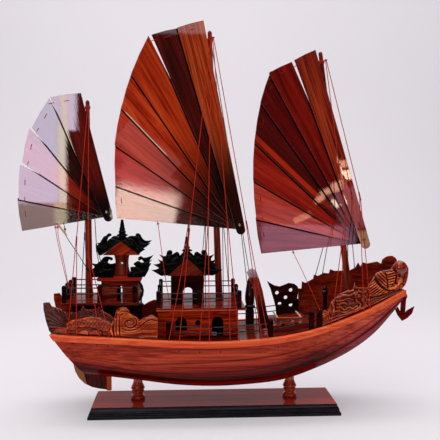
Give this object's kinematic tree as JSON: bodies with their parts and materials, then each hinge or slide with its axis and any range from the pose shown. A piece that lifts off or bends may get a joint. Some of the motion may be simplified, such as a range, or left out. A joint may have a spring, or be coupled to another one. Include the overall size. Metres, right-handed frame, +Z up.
{
  "type": "three-masted junk display model",
  "caption": "Varnished wooden display model of a sailing junk with fan sails of slats, carved cabins and boards, on turned pedestals and a stepped plinth.",
  "frame": {"origin": "centre of the plinth's underside, where it rests on a shelf", "axes": "+X to the bow, +Y to port, +Z up"},
  "size_m": [0.644, 0.1768, 0.6332],
  "materials": {
    "black_plinth": "satin lacquer",
    "orange_wood": "gloss varnish",
    "red_brown_wood": "gloss varnish",
    "maroon_wood": "gloss varnish",
    "dark_wood": "gloss varnish",
    "black_carving": "satin lacquer",
    "red_thread": "matt",
    "slat_orange": "gloss varnish",
    "slat_maroon": "gloss varnish",
    "slat_red": "gloss varnish"
  },
  "bodies": {
    "ship": {"plinth": "black_plinth", "pedestal_aft": "orange_wood", "pedestal_fore": "orange_wood", "rail_cap": "orange_wood", "stern_board_starboard": "orange_wood", "stern_board_port": "orange_wood", "stern_cabin": "orange_wood", "eave": "orange_wood", "upper_roof": "orange_wood", "deckhouse": "orange_wood", "upper_deck": "orange_wood", "hull": "red_brown_wood", "anchor": "red_brown_wood", "bow_board_starboard": "red_brown_wood", "bow_board_port": "red_brown_wood", "poop_deck": "red_brown_wood", "tower": "red_brown_wood", "pavilion_roof": "red_brown_wood", "deck": "maroon_wood", "hatch": "maroon_wood", "mast_mizzen": "maroon_wood", "mast_main": "maroon_wood", "mast_fore": "maroon_wood", "rudder": "dark_wood", "poop_house": "dark_wood", "poop_railing": "dark_wood", "pavilion": "dark_wood", "upper_railing": "dark_wood", "ladder": "dark_wood", "pointed_post": "dark_wood", "bollard": "dark_wood", "pierced_board": "dark_wood", "deck_railing_starboard": "dark_wood", "deck_railing_port": "dark_wood", "eave_wings_aft": "black_carving", "eave_wings_fore": "black_carving", "upper_roof_carving": "black_carving", "pavilion_carving": "black_carving", "shrouds_mizzen": "red_thread", "shrouds_main": "red_thread", "shrouds_fore": "red_thread", "mizzen_slat_1": "slat_orange", "main_slat_1": "slat_orange", "fore_slat_1": "slat_orange"},
    "mizzen_slat_2": {"mizzen_slat_2": "slat_maroon"},
    "mizzen_slat_3": {"mizzen_slat_3": "slat_red"},
    "mizzen_slat_4": {"mizzen_slat_4": "slat_orange"},
    "mizzen_slat_5": {"mizzen_slat_5": "slat_maroon"},
    "main_slat_2": {"main_slat_2": "slat_maroon"},
    "main_slat_3": {"main_slat_3": "slat_red"},
    "main_slat_4": {"main_slat_4": "slat_orange"},
    "main_slat_5": {"main_slat_5": "slat_maroon"},
    "main_slat_6": {"main_slat_6": "slat_red"},
    "main_slat_7": {"main_slat_7": "slat_orange"},
    "fore_slat_2": {"fore_slat_2": "slat_maroon"},
    "fore_slat_3": {"fore_slat_3": "slat_red"},
    "fore_slat_4": {"fore_slat_4": "slat_orange"},
    "fore_slat_5": {"fore_slat_5": "slat_maroon"},
    "fore_slat_6": {"fore_slat_6": "slat_red"},
    "fore_slat_7": {"fore_slat_7": "slat_orange"}
  },
  "joints": [
    {"name": "mizzen_fan_2", "type": "hinge", "parent": "ship", "child": "mizzen_slat_2", "pos_m": [-0.1736, -0.01, 0.3279], "axis": [0, 1, 0], "range_deg": [0, 11.1]},
    {"name": "mizzen_fan_3", "type": "hinge", "parent": "ship", "child": "mizzen_slat_3", "pos_m": [-0.1736, -0.01, 0.3279], "axis": [0, 1, 0], "range_deg": [0, 27.1]},
    {"name": "mizzen_fan_4", "type": "hinge", "parent": "ship", "child": "mizzen_slat_4", "pos_m": [-0.1736, -0.01, 0.3279], "axis": [0, 1, 0], "range_deg": [0, 45.9]},
    {"name": "mizzen_fan_5", "type": "hinge", "parent": "ship", "child": "mizzen_slat_5", "pos_m": [-0.1736, -0.01, 0.3279], "axis": [0, 1, 0], "range_deg": [0, 65.8]},
    {"name": "main_fan_2", "type": "hinge", "parent": "ship", "child": "main_slat_2", "pos_m": [0.0407, -0.01, 0.3065], "axis": [0, 1, 0], "range_deg": [0, 4]},
    {"name": "main_fan_3", "type": "hinge", "parent": "ship", "child": "main_slat_3", "pos_m": [0.0407, -0.01, 0.3065], "axis": [0, 1, 0], "range_deg": [0, 12.8]},
    {"name": "main_fan_4", "type": "hinge", "parent": "ship", "child": "main_slat_4", "pos_m": [0.0407, -0.01, 0.3065], "axis": [0, 1, 0], "range_deg": [0, 22]},
    {"name": "main_fan_5", "type": "hinge", "parent": "ship", "child": "main_slat_5", "pos_m": [0.0407, -0.01, 0.3065], "axis": [0, 1, 0], "range_deg": [0, 31.6]},
    {"name": "main_fan_6", "type": "hinge", "parent": "ship", "child": "main_slat_6", "pos_m": [0.0407, -0.01, 0.3065], "axis": [0, 1, 0], "range_deg": [0, 43.5]},
    {"name": "main_fan_7", "type": "hinge", "parent": "ship", "child": "main_slat_7", "pos_m": [0.0407, -0.01, 0.3065], "axis": [0, 1, 0], "range_deg": [0, 58.5]},
    {"name": "fore_fan_2", "type": "hinge", "parent": "ship", "child": "fore_slat_2", "pos_m": [0.2456, -0.01, 0.2823], "axis": [0, 1, 0], "range_deg": [0, 4.3]},
    {"name": "fore_fan_3", "type": "hinge", "parent": "ship", "child": "fore_slat_3", "pos_m": [0.2456, -0.01, 0.2823], "axis": [0, 1, 0], "range_deg": [0, 11]},
    {"name": "fore_fan_4", "type": "hinge", "parent": "ship", "child": "fore_slat_4", "pos_m": [0.2456, -0.01, 0.2823], "axis": [0, 1, 0], "range_deg": [0, 18.3]},
    {"name": "fore_fan_5", "type": "hinge", "parent": "ship", "child": "fore_slat_5", "pos_m": [0.2456, -0.01, 0.2823], "axis": [0, 1, 0], "range_deg": [0, 29.4]},
    {"name": "fore_fan_6", "type": "hinge", "parent": "ship", "child": "fore_slat_6", "pos_m": [0.2456, -0.01, 0.2823], "axis": [0, 1, 0], "range_deg": [0, 42.7]},
    {"name": "fore_fan_7", "type": "hinge", "parent": "ship", "child": "fore_slat_7", "pos_m": [0.2456, -0.01, 0.2823], "axis": [0, 1, 0], "range_deg": [0, 60.1]}
  ],
  "couplings": [
    {"joint": "mizzen_fan_2", "follows": "mizzen_fan_5", "ratio": 0.1686},
    {"joint": "mizzen_fan_3", "follows": "mizzen_fan_5", "ratio": 0.4118},
    {"joint": "mizzen_fan_4", "follows": "mizzen_fan_5", "ratio": 0.6975},
    {"joint": "main_fan_2", "follows": "main_fan_7", "ratio": 0.0683},
    {"joint": "main_fan_3", "follows": "main_fan_7", "ratio": 0.2188},
    {"joint": "main_fan_4", "follows": "main_fan_7", "ratio": 0.376},
    {"joint": "main_fan_5", "follows": "main_fan_7", "ratio": 0.5401},
    {"joint": "main_fan_6", "follows": "main_fan_7", "ratio": 0.7435},
    {"joint": "fore_fan_2", "follows": "fore_fan_7", "ratio": 0.0715},
    {"joint": "fore_fan_3", "follows": "fore_fan_7", "ratio": 0.183},
    {"joint": "fore_fan_4", "follows": "fore_fan_7", "ratio": 0.3044},
    {"joint": "fore_fan_5", "follows": "fore_fan_7", "ratio": 0.4891},
    {"joint": "fore_fan_6", "follows": "fore_fan_7", "ratio": 0.7104}
  ]
}
